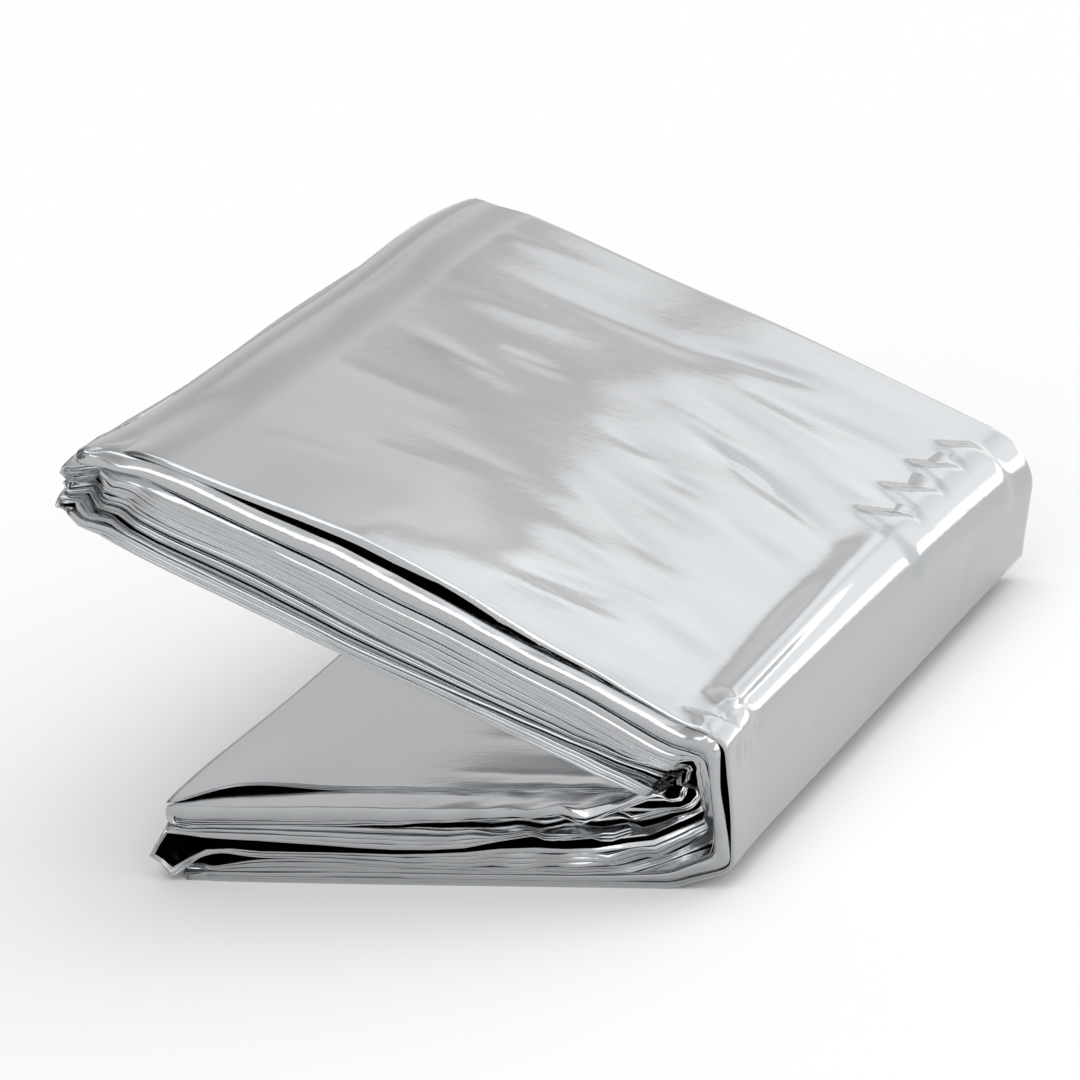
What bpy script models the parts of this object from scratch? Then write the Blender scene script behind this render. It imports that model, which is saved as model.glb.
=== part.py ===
"""Emergency foil blanket, folded away and left half open.

One sheet of metallised film is folded lengthwise into a strip. The strip is folded back and forth, and the
pad of layers is then bent in half, so that every layer passes round one spine and two flaps stand apart
like a V that lies on its side. The lower flap rests on the surface and the upper one rises from the spine.
Each layer here is the strip at the thickness of its pressed plies.

X runs from the open ends to the spine, Y along the spine from its near end to its far end, and Z is up.
The origin is on the surface, under the middle of the whole. Sizes are in metres.
"""

import math

import bpy

NAME = "foil_blanket"

STRIP_WIDTH = 0.131          # the strip, across: 2.10 m of film in 16 plies
LAYER_THICKNESS = 0.0010     # one layer of the strip, its plies pressed together
FLAP_ANGLE = math.radians(25.8)
LOWER_FLAP_DEPTH = 0.0123    # the pad where it lies flat
UPPER_FLAP_DEPTH = 0.0142    # the pad at the raised open end
UPPER_FLAP_REACH = 0.0938    # along the raised flap, from the inner fold to the open end
LOWER_FLAP_REACH = 0.0765    # along the surface, from the inner fold to the open end

SPINE_X = 0.0480             # outer face of the spine
SPINE_DEPTH = 0.0131         # from that face in to the centre of the innermost bend
SPINE_LEAN = 0.0006          # how far the foot of that face stands in from its head
CHAMFER_RUN = 0.0094         # the lowest bend, from the surface up to the spine's face
CHAMFER_RISE = 0.0030
SPINE_HEAD = 0.0218          # height at which the face starts to roll over to the upper flap
SPINE_FLARE = 0.0030         # how far the face swings out at the far end of the spine
FLARE_FADE = 0.035
ROLL_RADIUS_NEAR = 0.0032
ROLL_RADIUS_FAR = 0.0085
INNER_FOLD_X = SPINE_X - SPINE_DEPTH
INNER_FOLD_RADIUS = 0.0012
UPPER_SKEW = 0.0030          # how far the upper flap's open end runs in towards its far corner
LOWER_SKEW = 0.0010

BULGE_NEAR = 0.0053          # how far the top layers lift over the middle of the near edge
BULGE_INSIDE = 0.0006
BULGE_LEAN = 1.3             # above 1 sets the highest place nearer to the open end
BULGE_FADE = 0.026           # how far in from the near edge the lift dies away
WEDGE_FADE = 0.016
END_WAVE = 0.0006            # unevenness of the folds at the open ends
LEVEL_WAVE = 0.00012         # unevenness of a layer's height between its neighbours
CORNER_CUT = 0.0028          # how far the folds draw in at the far corners of the open ends
NEAR_CORNER_SHARE = 0.4      # the near corners draw in by this share of it
CORNER_FADE = 0.011
SPINE_RISE_POWER = 4         # a high power keeps the lower flap flat until it nears the spine

# The unevenness is two waves across the strip's width: how many of each, how much each counts, and how
# far the phase moves from one fold or layer to the next, in turns.
SLOW_WAVES = 0.8
QUICK_WAVES = 2.1
SLOW_SHARE = 0.6
QUICK_SHARE = 0.4
QUICK_PHASE_SCALE = 1.7
LOWER_FOLD_PHASE = 0.31
UPPER_FOLD_PHASE = 0.43
UPPER_FOLD_START = 0.2
LEVEL_PHASE = 0.37

# One row a layer, from the outermost to the innermost. The shares are its place between the innermost
# layer, 0, and the outermost, 1: along the lower flap, round the spine, round the near end of the spine,
# where the layers part, along the upper flap, and over the middle of the upper flap's near edge, where the
# top layer stands off the rest. The reaches are how far its fold comes past a flap's open end, and the
# insets how far its two edges stand in, in millimetres.
LAYER_COLUMNS = (
    "lower", "spine", "spine_near", "upper", "upper_near",
    "lower_reach", "upper_reach", "near_inset", "far_inset",
)
LAYER_ROWS = (
    (1.000, 1.000, 1.000, 1.000, 1.000, 1.6, 1.2, 0.2, 0.0),
    (0.867, 0.860, 0.872, 0.852, 0.765, 3.4, 1.2, 0.0, 0.3),
    (0.712, 0.716, 0.744, 0.716, 0.645, 3.4, 0.6, 0.4, 0.1),
    (0.580, 0.569, 0.616, 0.568, 0.520, 1.6, 0.6, 0.1, 0.5),
    (0.425, 0.428, 0.492, 0.432, 0.396, 1.6, 0.1, 0.6, 0.2),
    (0.292, 0.288, 0.262, 0.284, 0.266, 2.0, 0.1, 0.3, 0.0),
    (0.137, 0.143, 0.130, 0.148, 0.138, 2.0, 2.0, 0.0, 0.4),
    (0.000, 0.000, 0.000, 0.000, 0.000, 0.3, 2.0, 0.5, 0.2),
)

LOWER_STEPS = (0.0, 0.12, 0.35, 0.62, 0.86, 1.0)
UPPER_STEPS = (0.0, 0.12, 0.30, 0.50, 0.70, 0.88, 1.0)
WIDTH_STEPS = (0.0, 0.06, 0.17, 0.34, 0.55, 0.77, 0.93, 1.0)
FACE_STEPS = 3
ROLL_STEPS = 3
TURN_STEPS = 4
SHARP_ANGLE = math.radians(35)
MM = 0.001

FILM_COLOUR = (0.78, 0.79, 0.80, 1.0)
FILM_ROUGHNESS = 0.12
FILM_METALLIC = 1.0

ALONG_UPPER = (-math.cos(FLAP_ANGLE), math.sin(FLAP_ANGLE))
OUT_OF_UPPER = (math.sin(FLAP_ANGLE), math.cos(FLAP_ANGLE))


def clear_scene():
    for item in list(bpy.data.objects):
        bpy.data.objects.remove(item, do_unlink=True)


def new_collection(name):
    made = bpy.data.collections.new(name)
    bpy.context.scene.collection.children.link(made)
    return made


def film_material():
    """Bare aluminium-coated film: a mirror, slightly dulled by its fine creases."""
    made = bpy.data.materials.new("metallised_film")
    made.use_nodes = True
    shader = made.node_tree.nodes["Principled BSDF"]
    shader.inputs["Base Color"].default_value = FILM_COLOUR
    shader.inputs["Roughness"].default_value = FILM_ROUGHNESS
    shader.inputs["Metallic"].default_value = FILM_METALLIC
    return made


def mix(first, second, share):
    return tuple(a + (b - a) * share for a, b in zip(first, second))


def moved(point, direction, distance):
    return tuple(p + d * distance for p, d in zip(point, direction))


def layers():
    rows = []
    for values in LAYER_ROWS:
        rows.append(dict(zip(LAYER_COLUMNS, values)))
    return rows


def wave(width_share, phase):
    """A gentle unevenness between -1 and 1 along the strip's width."""
    slow = math.sin(math.tau * (SLOW_WAVES * width_share + phase))
    quick = math.sin(math.tau * (QUICK_WAVES * width_share + QUICK_PHASE_SCALE * phase))
    return SLOW_SHARE * slow + QUICK_SHARE * quick


def corner_draw(width_share):
    """How far the open ends draw in beside the strip's two edges."""
    from_near = width_share * STRIP_WIDTH
    from_far = (1.0 - width_share) * STRIP_WIDTH
    near = NEAR_CORNER_SHARE * math.exp(-from_near / CORNER_FADE)
    return CORNER_CUT * (near + math.exp(-from_far / CORNER_FADE))


def inner_spine(turn_share):
    """The innermost layer's bend, from the lower flap round to the upper one."""
    turn = -math.pi / 2 + turn_share * (math.pi - FLAP_ANGLE)
    centre_z = LOWER_FLAP_DEPTH - LAYER_THICKNESS / 2 + INNER_FOLD_RADIUS
    return (
        INNER_FOLD_X + INNER_FOLD_RADIUS * math.cos(turn),
        centre_z + INNER_FOLD_RADIUS * math.sin(turn),
    )


def outer_spine(width_share):
    """The outermost layer's way round the spine: the bend off the surface, the face, and the roll."""
    half = LAYER_THICKNESS / 2
    radius = ROLL_RADIUS_NEAR + (ROLL_RADIUS_FAR - ROLL_RADIUS_NEAR) * width_share
    head = SPINE_HEAD - (radius - ROLL_RADIUS_NEAR) * math.tan((math.pi / 2 - FLAP_ANGLE) / 2)
    from_far = (1.0 - width_share) * STRIP_WIDTH
    face_x = SPINE_X - half + SPINE_FLARE * math.exp(-from_far / FLARE_FADE)
    foot = (SPINE_X - half - SPINE_LEAN, CHAMFER_RISE + half)
    points = [(foot[0] - CHAMFER_RUN, half)]
    for step in range(FACE_STEPS + 1):
        points.append(mix(foot, (face_x, head), step / FACE_STEPS))
    for step in range(1, ROLL_STEPS + 1):
        turn = (math.pi / 2 - FLAP_ANGLE) * step / ROLL_STEPS
        points.append((face_x - radius + radius * math.cos(turn), head + radius * math.sin(turn)))
    return points


def near_lift(flap_share, width_share):
    """How far the upper flap's top bulges, most over the middle of the near edge."""
    from_near = width_share * STRIP_WIDTH
    height = BULGE_INSIDE + (BULGE_NEAR - BULGE_INSIDE) * math.exp(-((from_near / BULGE_FADE) ** 2))
    return height * math.sin(math.pi * flap_share ** BULGE_LEAN)


def centreline(row, number, width_share):
    """One layer's points (x, z) from the lower flap's open end, round the spine, to the upper's."""
    half = LAYER_THICKNESS / 2
    draw = corner_draw(width_share)
    lower_pair = (number + 1) // 2
    upper_pair = number // 2
    lower_end = row["lower_reach"] * MM + END_WAVE * wave(width_share, LOWER_FOLD_PHASE * lower_pair)
    lower_end -= draw + LOWER_SKEW * width_share
    upper_phase = UPPER_FOLD_PHASE * upper_pair + UPPER_FOLD_START
    upper_end = row["upper_reach"] * MM + END_WAVE * wave(width_share, upper_phase)
    upper_end -= draw + UPPER_SKEW * width_share
    uneven = LEVEL_WAVE * wave(width_share, LEVEL_PHASE * number)
    touching = number in (0, len(LAYER_ROWS) - 1)
    rise = LOWER_FLAP_DEPTH - LAYER_THICKNESS
    near = math.exp(-width_share * STRIP_WIDTH / WEDGE_FADE)
    spine_place = row["spine"] + (row["spine_near"] - row["spine"]) * near

    spine_outer = outer_spine(width_share)
    last = len(spine_outer) - 1
    spine = []
    for step, outer in enumerate(spine_outer):
        spine.append(mix(inner_spine(step / last), outer, spine_place))

    lower_z = half + rise * (1.0 - row["lower"])
    lower_end_x = INNER_FOLD_X - LOWER_FLAP_REACH - lower_end
    points = []
    for share in LOWER_STEPS[:-1]:
        x = lower_end_x + (spine[0][0] - lower_end_x) * share
        z = lower_z + (0.0 if touching else uneven * math.sin(math.pi * share))
        points.append((x, z + (spine[0][1] - lower_z) * share ** SPINE_RISE_POWER))
    points += spine

    inner_start = inner_spine(1.0)
    inner_end = moved(inner_start, ALONG_UPPER, UPPER_FLAP_REACH)
    outer_end = moved(inner_end, OUT_OF_UPPER, UPPER_FLAP_DEPTH - LAYER_THICKNESS)
    for share in UPPER_STEPS[1:]:
        along = moved((0.0, 0.0), ALONG_UPPER, upper_end * share)
        inner = mix(inner_start, inner_end, share)
        outer = moved(mix(spine_outer[-1], outer_end, share), OUT_OF_UPPER, near_lift(share, width_share))
        place = row["upper"] + (row["upper_near"] - row["upper"]) * math.sin(math.pi * share) * near
        place = spine_place + (place - spine_place) * min(1.0, share / UPPER_STEPS[1])
        x, z = mix(inner, outer, place)
        level = 0.0 if touching else uneven * math.sin(math.pi * share)
        points.append((x + along[0] + OUT_OF_UPPER[0] * level, z + along[1] + OUT_OF_UPPER[1] * level))
    return points


def turn_round(first, second, outward):
    """The half circle that joins two layers at an open end, without its two ends."""
    middle = mix(first, second, 0.5)
    radius = math.dist(first, second) / 2
    points = []
    for step in range(1, TURN_STEPS):
        turn = math.pi * step / TURN_STEPS
        across = mix(middle, first, math.cos(turn))
        points.append(moved(across, outward, radius * math.sin(turn)))
    return points


def folded_section(width_share):
    """The whole strip's centreline at one place across its width, with how far its edges stand in."""
    points = []
    rows = layers()
    for number, row in enumerate(rows):
        line = centreline(row, number, width_share)
        inset = row["near_inset"] * (1.0 - width_share) - row["far_inset"] * width_share
        upward = number % 2 == 0
        if not upward:
            line.reverse()
        if number:
            outward = (-1.0, 0.0) if upward else ALONG_UPPER
            turn = turn_round(points[-1][:2], line[0], outward)
            points += [(x, z, inset) for x, z in turn]
        points += [(x, z, inset) for x, z in line]
    return points


def foil_blanket(collection):
    """The folded strip: an open surface lofted along the spine, given the layer's thickness."""
    sections = [folded_section(share) for share in WIDTH_STEPS]
    count = len(sections[0])
    vertices = []
    for share, section in zip(WIDTH_STEPS, sections):
        y = (share - 0.5) * STRIP_WIDTH
        vertices += [(x, y + inset * MM, z) for x, z, inset in section]
    faces = []
    for row in range(len(sections) - 1):
        start = row * count
        for step in range(count - 1):
            corner = start + step
            faces.append((corner, corner + 1, corner + 1 + count, corner + count))
    mesh = bpy.data.meshes.new(NAME)
    mesh.from_pydata(vertices, [], faces)
    mesh.materials.append(film_material())
    made = bpy.data.objects.new(NAME, mesh)
    collection.objects.link(made)
    thickness = made.modifiers.new("layer thickness", "SOLIDIFY")
    thickness.thickness = LAYER_THICKNESS
    thickness.offset = 0.0
    thickness.use_even_offset = True
    mesh.shade_smooth()
    mesh.set_sharp_from_angle(angle=SHARP_ANGLE)
    return made


def main():
    clear_scene()
    foil_blanket(new_collection("emergency_foil_blanket"))


main()
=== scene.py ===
import math

import bmesh
import bpy
import numpy as np
from bpy.props import FloatProperty, IntProperty, PointerProperty, StringProperty
from bpy.types import Operator, Panel, PropertyGroup
from mathutils import Matrix, Vector


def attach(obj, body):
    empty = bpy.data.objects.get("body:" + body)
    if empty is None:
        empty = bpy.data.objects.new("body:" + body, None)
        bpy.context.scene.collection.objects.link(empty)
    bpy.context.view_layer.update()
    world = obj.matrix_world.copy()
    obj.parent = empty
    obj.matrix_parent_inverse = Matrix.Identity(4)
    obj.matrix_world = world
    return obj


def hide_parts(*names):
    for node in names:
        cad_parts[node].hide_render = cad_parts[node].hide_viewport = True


bl_info = {
    "name": "Emergency foil blanket",
    "version": (1, 0, 0),
    "blender": (4, 5, 0),
    "location": "View3D > Sidebar > Foil Blanket",
    "description": "Builds a folded, half opened blanket of metallised film, with its stage",
    "category": "Object",
}

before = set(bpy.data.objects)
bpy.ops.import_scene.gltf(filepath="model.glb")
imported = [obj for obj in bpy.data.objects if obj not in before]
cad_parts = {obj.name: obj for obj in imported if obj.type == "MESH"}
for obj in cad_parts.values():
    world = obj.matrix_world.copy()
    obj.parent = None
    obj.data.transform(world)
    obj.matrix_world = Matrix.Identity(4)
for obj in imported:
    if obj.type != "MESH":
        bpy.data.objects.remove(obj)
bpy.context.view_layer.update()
BODY = "root"
NODE = "foil_blanket"

MM = 0.001

# The pad, in the frame's own places: X from the open ends to the spine, Y along the spine, Z up.
STRIP_WIDTH = 0.131
FLAP_ANGLE = math.radians(25.8)
LOWER_DEPTH = 0.0123
UPPER_DEPTH = 0.0142
UPPER_REACH = 0.0938
LOWER_REACH = 0.0765
SPINE_X = 0.0480
SPINE_DEPTH = 0.0131
SPINE_LEAN = 0.0006
SPINE_FLARE = 0.0030
FLARE_FADE = 0.035
CHAMFER_RUN = 0.0094
CHAMFER_RISE = 0.0030
SPINE_HEAD = 0.0197
ROLL_NEAR = 0.0046
ROLL_FAR = 0.0105
# The outer face's way round the spine in equal parts: 1 for the chamfer at its foot, then these.
FACE_PARTS = 3
ROLL_PARTS = 3
INNER_FOLD_X = SPINE_X - SPINE_DEPTH
INNER_FOLD_RADIUS = 0.0007
INNER_FOLD_Z = LOWER_DEPTH + INNER_FOLD_RADIUS
LOWER_SKEW = 0.0010
CORNER_CUT = 0.0022
CORNER_FADE = 0.011
ROUND_LIMIT = 0.92
END_WAVE = 0.0006
ARCH_FADE = 0.026
ARCH_INSIDE = 0.0008
BEND_ROUNDING = 0.035  # how far along a layer's way its bends are rounded, and how far that reaches
BEND_REACH = 0.62
# Along the raised flap, from the spine to its open end, and out of its upper face.
ALONG = np.array((-math.cos(FLAP_ANGLE), math.sin(FLAP_ANGLE)))
OUT = np.array((math.sin(FLAP_ANGLE), math.cos(FLAP_ANGLE)))

# How far each layer's fold comes past the flaps' nominal ends, in millimetres, outermost layer first. The
# raised flap's are at the near edge, and then at the far one.
LOWER_FOLDS = (-0.6, -0.8, -0.8, 1.5, 1.5, -0.2, -0.2, 0.2)
UPPER_FOLDS = (-2.6, 1.6, 3.2, 3.2, 3.2, 3.4, 4.2, 3.6)
UPPER_FAR_FOLDS = (-4.4, -0.6, -1.6, -1.4, -1.0, -0.6, -1.2, -2.2)
# How far the near corner of the raised open end is rounded off, in millimetres.
UPPER_ROUNDS = (2.0, 3.0, 5.5, 5.5, 5.5, 5.5, 5.0, 5.0)
LAYERS = len(LOWER_FOLDS)
PLIES = 4

# Where the layers lie at the near edge. A layer's way runs from 0 at the lower open end to 1 at the foot of
# the spine, 2 at its head, and 3 at the upper open end. The stations are places on that way. Each pair is
# the layer's outer and inner face, as shares of the pad's depth from its inner face, 0, to its outer, 1.
STATIONS = (
    0, 0.04, 0.09, 0.16, 0.32, 0.5, 0.6, 0.7, 0.88, 0.94, 0.98,
    1.15, 1.45, 1.80,
    2.02, 2.15, 2.35, 2.50, 2.70, 2.86, 2.94, 3.0,
)
BANDS = (
    ((1, 0.94), (1, 0.94), (1, 0.935), (1, 0.935), (1, 0.93), (1, 0.93),
     (1, 0.93), (1, 0.93), (1, 0.93), (1, 0.933), (1, 0.935),
     (1, 0.958), (1, 0.966), (1, 0.962),
     (1, 0.945), (1, 0.925), (1, 0.87), (1, 0.924), (1, 0.934), (1, 0.945), (1, 0.955), (1, 0.955)),
    ((0.935, 0.885), (0.932, 0.88), (0.93, 0.88), (0.93, 0.88), (0.925, 0.86), (0.925, 0.86),
     (0.925, 0.86), (0.925, 0.855), (0.925, 0.85), (0.925, 0.838), (0.928, 0.83),
     (0.948, 0.745), (0.868, 0.745), (0.945, 0.72),
     (0.928, 0.66), (0.9, 0.703), (0.836, 0.667), (0.822, 0.631), (0.847, 0.67), (0.93, 0.73),
     (0.88, 0.755), (0.93, 0.745)),
    ((0.88, 0.845), (0.875, 0.825), (0.875, 0.8), (0.86, 0.722), (0.855, 0.708), (0.855, 0.775),
     (0.855, 0.78), (0.85, 0.78), (0.845, 0.77), (0.83, 0.752), (0.81, 0.76),
     (0.73, 0.56), (0.73, 0.565), (0.7, 0.62),
     (0.648, 0.47), (0.69, 0.476), (0.652, 0.495), (0.614, 0.475), (0.655, 0.515), (0.712, 0.52),
     (0.742, 0.585), (0.735, 0.585)),
    ((0.945, 0.86), (0.75, 0.67), (0.61, 0.545), (0.683, 0.614), (0.7, 0.618), (0.77, 0.634),
     (0.77, 0.6), (0.77, 0.52), (0.765, 0.54), (0.744, 0.55), (0.73, 0.53),
     (0.6, 0.48), (0.45, 0.395), (0.5, 0.43),
     (0.462, 0.38), (0.468, 0.385), (0.488, 0.385), (0.468, 0.378), (0.508, 0.435), (0.512, 0.43),
     (0.57, 0.49), (0.575, 0.47)),
    ((0.385, 0.3), (0.42, 0.3), (0.445, 0.295), (0.463, 0.291), (0.512, 0.296), (0.577, 0.33),
     (0.56, 0.345), (0.405, 0.35), (0.405, 0.35), (0.45, 0.392), (0.48, 0.42),
     (0.44, 0.39), (0.35, 0.3), (0.4, 0.35),
     (0.375, 0.3), (0.378, 0.295), (0.378, 0.276), (0.37, 0.281), (0.428, 0.355), (0.422, 0.366),
     (0.48, 0.41), (0.46, 0.36)),
    ((0.285, 0.24), (0.288, 0.242), (0.285, 0.242), (0.285, 0.24), (0.285, 0.24), (0.312, 0.235),
     (0.32, 0.215), (0.33, 0.185), (0.33, 0.16), (0.336, 0.202), (0.34, 0.23),
     (0.35, 0.3), (0.25, 0.2), (0.31, 0.26),
     (0.296, 0.185), (0.29, 0.192), (0.27, 0.176), (0.275, 0.148), (0.348, 0.188), (0.36, 0.212),
     (0.4, 0.27), (0.35, 0.25)),
    ((0.235, 0.03), (0.235, 0.03), (0.235, 0.045), (0.235, 0.045), (0.235, 0.03), (0.23, 0.03),
     (0.205, 0.03), (0.17, 0.03), (0.145, 0.03), (0.136, 0.03), (0.13, 0.03),
     (0.21, 0.16), (0.15, 0.1), (0.2, 0.15),
     (0.17, 0.145), (0.185, 0.16), (0.168, 0.143), (0.14, 0.115), (0.18, 0.155), (0.203, 0.178),
     (0.25, 0.215), (0.24, 0.17)),
    ((0.024, 0), (0.015, -0.007), (-0.015, -0.038), (-0.02, -0.043), (0.038, 0), (0.04, 0),
     (0.04, 0), (0.04, 0), (0.04, 0), (0.04, 0), (0.04, 0),
     (0.05, 0), (0.05, 0), (0.08, 0),
     (0.13, 0), (0.15, 0.009), (0.135, 0.023), (0.11, 0.032), (0.148, 0.048), (0.17, 0.064),
     (0.205, 0.078), (0.16, 0.078)),
)
# How far each layer's near edge stands in at the same stations, in millimetres.
INSETS = (
    (0.8, 0.3, 0.2, 0.1, 0, 0, 0, 0, 0, 0, 0, 0, 0, 0, 0, 0, 0, 0, 0, 0, 0.4, 2.4),
    (1.2, 0.6, 0.3, 0.2, 0.2, 0.1, 0.1, 0.1, 0.2, 0.2, 0.6, 0.2, 0, 0, 0, 0, 0, 0, 0, 0, 0, 0),
    (1.6, 1, 0.6, 0.3, 0.2, 0.1, 0.1, 0.1, 0.3, 0.7, 6.5,
     5.5, 1.6, 0.3, 0.2, 0.1, 0.1, 0.1, 0.1, 0.3, 1.6, 3.6),
    (0, 0.1, 0.2, 0.1, 0.1, 0.1, 0.2, 0.2, 0.5, 3, 7, 8, 4.5, 1.8, 0.8, 0.2, 0.2, 0.2, 0.3, 0.4, 1.9, 4),
    (0, 0, 0, 0, 0, 0.1, 0.3, 0.3, 0.6, 1, 8, 9.5, 9, 4.5, 1.8, 0.6, 0.7, 0.8, 1, 0.9, 2.2, 4.4),
    (0.3, 0.2, 0.2, 0.2, 0.4, 2.4, 4, 4.6, 5, 6, 8, 9.5, 9.5, 7, 4, 1.6, 1.5, 1.7, 2, 1.7, 2.6, 4.4),
    (0.2, 0.1, 0, 0, 0, 0, 0, 0, 0.1, 5, 8, 8.5, 9, 6.5, 4, 1.6, 0.2, 0.2, 0.2, 0.3, 1.6, 3.8),
    (0.3, 2.2, 5.8, 7.2, 7, 7, 7, 7, 7, 7, 6.5, 6, 5, 2, 0.5, 0.1, 0, 0, 0, 0, 0.4, 1.2),
)
# How the four plies share a layer at the near edge, from its outer side to its inner one, and how far each
# stands in, in millimetres.
PLY_SHARES = (
    (0.46, 0.18, 0.18, 0.18), (0.88, 0.04, 0.04, 0.04), (0.32, 0.26, 0.21, 0.21), (0.25, 0.25, 0.25, 0.25),
    (0.25, 0.25, 0.25, 0.25), (0.25, 0.25, 0.25, 0.25), (0.07, 0.07, 0.08, 0.78), (0.25, 0.25, 0.25, 0.25),
)
PLY_STAGGER = (
    (0.0, 0.35, 0.6, 0.9), (0.0, 0.5, 0.4, 0.6), (0.0, 0.05, 0.10, 0.2), (0.1, 0.2, 0.0, 0.15),
    (0.1, 0.0, 0.15, 0.7), (0.0, 0.8, 0.1, 0.35), (0.3, 0.4, 0.3, 0.0), (0.0, 0.1, 0.05, 0.15),
)
# The shape of a ply's near edge: how far its middle stands out, as a share of half its thickness, and how
# flat that bulge is, 1 for a half ellipse and 2 for a shallow arch. On the raised flap the edge also leans
# back towards its upper side, by this slope, and so catches the light from the front as a white line.
EDGE_BULGE = (0.08, 0.28, 0.08, 0.18, 0.18, 0.30, 0.20, 0.18)
EDGE_POWER = 2.0
LOWER_BULGE = 0.4  # the bulge on the lower flap, as a share of that on the raised one
BULGE_RUN = 0.3  # and how much of the spine it takes to grow
EDGE_FADES = (10, 10, 10, 10, 10, 10, 22, 16)  # how far in from its edge a layer comes to lie evenly
SHARE_FADE = 7.0  # and how far in its plies come to share it evenly
EDGE_LEAN = (
    (0.27, 0.10, 0.02, 0.02), (0.27, 0.1, 0.1, 0.1), (0.10, 0.28, 0.06, 0.04), (0.03, 0.02, 0.05, 0.02),
    (0.02, 0.06, 0.02, 0.03), (-0.05, 0.05, -0.05, 0.0), (0.1, 0.1, 0.1, 0.28), (0.05, 0.12, 0.04, 0.08),
)
LEAN_START = 1.98  # where on the way the lean begins, and how soon it is whole
LEAN_RUN = 0.05
LEAN_FALL = 25  # how fast it is lost across the strip
LEAN_WAVES = ((0.06, 31, 2, 0), (0.05, 83, 0, 1))  # height, rate, and turn for each ply and each layer
END_LEAN = 0.26  # how much more the layers' edges lean at the raised open end
END_LEAN_START = 2.86
END_LEAN_RUN = 0.06
# The unevenness of the near edges, in millimetres: height, rate along the way, and turn by layer and ply.
RAGGED_WAVES = ((0.10, 9.0, 1.0), (0.05, 23.0, 2.3), (0.03, 61.0, 3.1))
RAGGED_BASE = 0.18
RAGGED_ON_TOP = 0.3  # how much of it the outermost layer has, and the turns at the raised open end
RAGGED_IN_TURNS = 0.35
# Under the arch of the top sheet the outermost layer's plies part: places on the way, and how many times
# their stagger is there what it is elsewhere.
TOP_PART_WAYS = (1.9, 2.04, 2.10, 2.40, 2.52)
TOP_PARTS = (0.2, 1.0, 3.2, 3.2, 0.12)
# The unevenness of the far edges, in millimetres: from ply to ply, and along the way.
FAR_UNEVEN = 0.35
FAR_RIPPLE = 0.12
# The far edges are round: the radius as a share of a ply's thickness, and its limits in metres.
FAR_ROUND = 0.4
FAR_ROUND_LIMITS = (0.00003, 0.0012)

# The third layer's white line breaks off here and goes on one ply further out.
LINE_LAYER = 2
LINE_BREAK = 2.68
LINE_STEP = 0.03

# The top sheet's near edge arches over the layers under it: share of the way from the spine's head to the
# open end, and height in millimetres.
ARCH_PLACES = (0, .05, .108, .181, .272, .353, .409, .497, .590, .676, .792, .886, .957, 1.0)
ARCH_HEIGHTS = (0, .3, .6, 1.2, 1.5, 2.3, 3.1, 3.9, 4.4, 4.1, 3.4, 3.1, 2.8, 0.4)

# How strongly each layer is crushed, in millimetres: round the near end of the spine, and at the near
# corners of the two open ends.
SPINE_CRUMPLE = (0.0, 0.0, 0.3, 1.3, 1.9, 2.0, 1.4, 1.0)
UPPER_END_CRUMPLE = (0.1, 0.4, 1.4, 1.6, 1.7, 1.7, 1.5, 0.6)
LOWER_END_CRUMPLE = (0.1, 0.6, 0.8, 0.7, 0.5, 0.3, 0.1, 0.1)
SPINE_CRUMPLE_WAY = 1.4  # where the spine is crushed most, and how that fades below and above
SPINE_CRUMPLE_FADES = (0.52, 0.42)
UPPER_END_FADE = 0.066
LOWER_END_FADE = 0.06
CRUMPLE_ACROSS = 12.0  # how far it goes in from the near edge, in millimetres, and at the lower end
LOWER_END_ACROSS = 8.0
LEAST_CRUMPLE = 0.01  # in millimetres: a stretch with less than this is left as it is
# In the near mouths between layers that part, by layer: how strongly each ply is crushed, from the layer's
# outer side, where on the way, over what length of it, and over what width.
MOUTH_CRUMPLE = {
    0: ((0.0, 0.5, 0.9, 1.1), 2.25, 0.14, 9.0),
    5: ((0.0, 0.5, 0.5, 0.5), 0.84, 0.18, 7.0),
    6: ((0.4, 0.4, 0.4, 0.0), 0.84, 0.18, 7.0),
}
# The facets are four sharp waves, in these directions: along the layer, across it, upward, and how long.
FACETS = ((0.9, 0.5, 0.3, 7.3), (-0.6, 0.8, 0.9, 6.2), (0.2, 1.0, -0.7, 8.9), (1.0, -0.3, 0.8, 3.6))
# How far each wave pushes the film in X, in Y and in Z.
FACET_PUSHES = ((0.55, 0.0, 0.0, 0.2), (0.6, 0.9, 0.0, 0.0), (0.4, 0.25, 0.45, 0.0))
DROOP_LAYER = 3  # the layer whose fold is the widest of the lower open end
FOLD_DROOP = 0.32  # how far that fold hangs, as a share of its reach
FOLD_NEAR = 16.0  # how far in from the near edge the open ends' folds are sharper, in millimetres
FOLD_SHARPNESS = 0.2  # how sharp they are there, 1 for the widest fold
PLY_GAP = 0.03  # between neighbouring plies, as a share of a layer

# Where the inner plies have points across the strip's 131 mm, closest together where they are crushed.
INNER_FLATS = tuple(mm / 131 for mm in (
    0, .5, 1, 1.6, 2.2, 3, 3.8, 4.8, 6, 7.5, 9.5, 12, 16, 22, 30, 42, 58, 76, 94, 108, 118, 125, 129, 131,
))

# And the outermost ply on the side that shows: from, to and spacing, in millimetres.
OUTER_SPACING = ((0, 8, 0.5), (8, 62, 1.35), (62, 127, 1.05), (127, 131, 1.0))

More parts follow.
